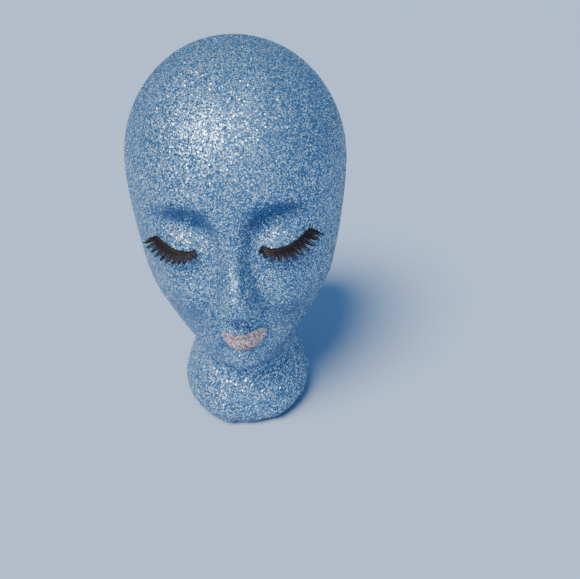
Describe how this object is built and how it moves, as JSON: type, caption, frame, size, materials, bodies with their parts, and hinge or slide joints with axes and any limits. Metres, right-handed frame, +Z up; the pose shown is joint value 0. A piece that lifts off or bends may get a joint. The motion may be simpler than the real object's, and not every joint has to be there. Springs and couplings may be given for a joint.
{
  "type": "wig display head",
  "caption": "Foam mannequin head for wigs and lashes, coated in blue glitter, with closed eyes, strip lashes and pink glitter lips.",
  "frame": {"origin": "on the table, under the middle of the head's box from side to side and from nose to back", "axes": "+Z up, the face looks along -Y, +X to the left hand of the face"},
  "size_m": [0.151, 0.2014, 0.273],
  "materials": {
    "white_foam": "moulded polystyrene beads, matte",
    "blue_glitter": "silver-blue glitter flakes set in clear glue",
    "pink_glitter": "fine pink glitter set in clear glue",
    "lash_glue": "dried clear lash glue",
    "lash_thread": "knotted black cotton band",
    "lash_hair": "tapered black fibre with a soft shine"
  },
  "bodies": {
    "root": {"foam_head": "white_foam", "glitter_coat": "blue_glitter", "lip_glitter": "pink_glitter", "lash_glue_right": "lash_glue", "lash_band_right": "lash_thread", "lash_cluster_right_01": "lash_hair", "lash_cluster_right_02": "lash_hair", "lash_cluster_right_03": "lash_hair", "lash_cluster_right_04": "lash_hair", "lash_cluster_right_05": "lash_hair", "lash_cluster_right_06": "lash_hair", "lash_cluster_right_07": "lash_hair", "lash_cluster_right_08": "lash_hair", "lash_cluster_right_09": "lash_hair", "lash_cluster_right_10": "lash_hair", "lash_cluster_right_11": "lash_hair", "lash_glue_left": "lash_glue", "lash_band_left": "lash_thread", "lash_cluster_left_01": "lash_hair", "lash_cluster_left_02": "lash_hair", "lash_cluster_left_03": "lash_hair", "lash_cluster_left_04": "lash_hair", "lash_cluster_left_05": "lash_hair", "lash_cluster_left_06": "lash_hair", "lash_cluster_left_07": "lash_hair", "lash_cluster_left_08": "lash_hair", "lash_cluster_left_09": "lash_hair", "lash_cluster_left_10": "lash_hair", "lash_cluster_left_11": "lash_hair"}
  },
  "joints": []
}
